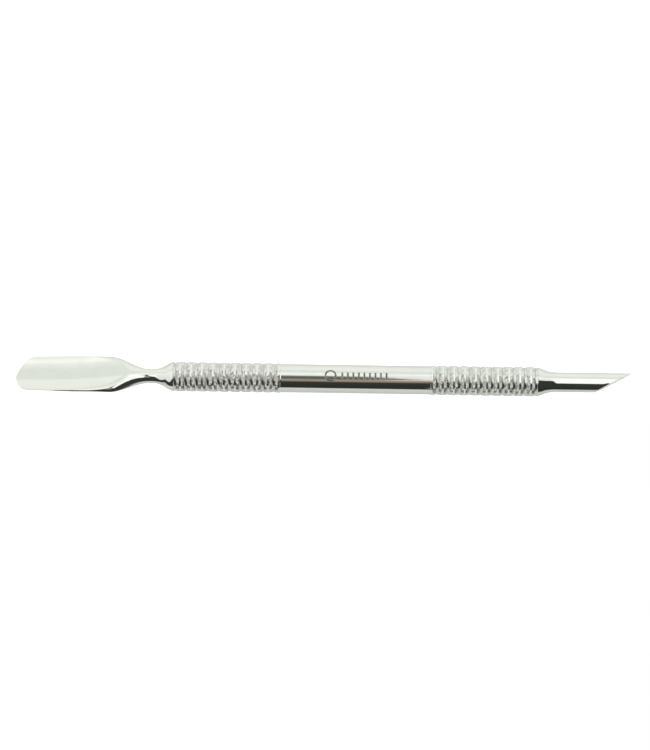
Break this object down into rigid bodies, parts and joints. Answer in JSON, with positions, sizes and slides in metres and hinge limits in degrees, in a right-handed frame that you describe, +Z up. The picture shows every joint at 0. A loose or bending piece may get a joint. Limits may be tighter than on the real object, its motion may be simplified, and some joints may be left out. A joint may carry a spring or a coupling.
{
  "type": "cuticle pusher",
  "caption": "Slim double-ended steel cuticle pusher: a shallow dished scoop at one end, a slant-ground round rod at the other, and a tube handle with ribbed grips.",
  "frame": {"origin": "centre of the tool's length and width, at the surface that its lowest ribs lie on", "axes": "+X along the tool from the scoop's tip to the bevelled point; +Z up, out of the scoop's dish; +Y across the tool"},
  "size_m": [0.135, 0.0088, 0.0064],
  "materials": {
    "ribbed_steel": "stainless steel, plain bands polished, ribs cut with a fine diamond knurl",
    "polished_steel": "stainless steel, mirror polished",
    "silver_braze": "pale silver braze, as it set"
  },
  "bodies": {
    "root": {"handle_tube": "ribbed_steel", "scoop_tip": "polished_steel", "bevel_tip": "polished_steel", "scoop_braze_ring": "silver_braze", "bevel_braze_ring": "silver_braze"}
  },
  "joints": []
}
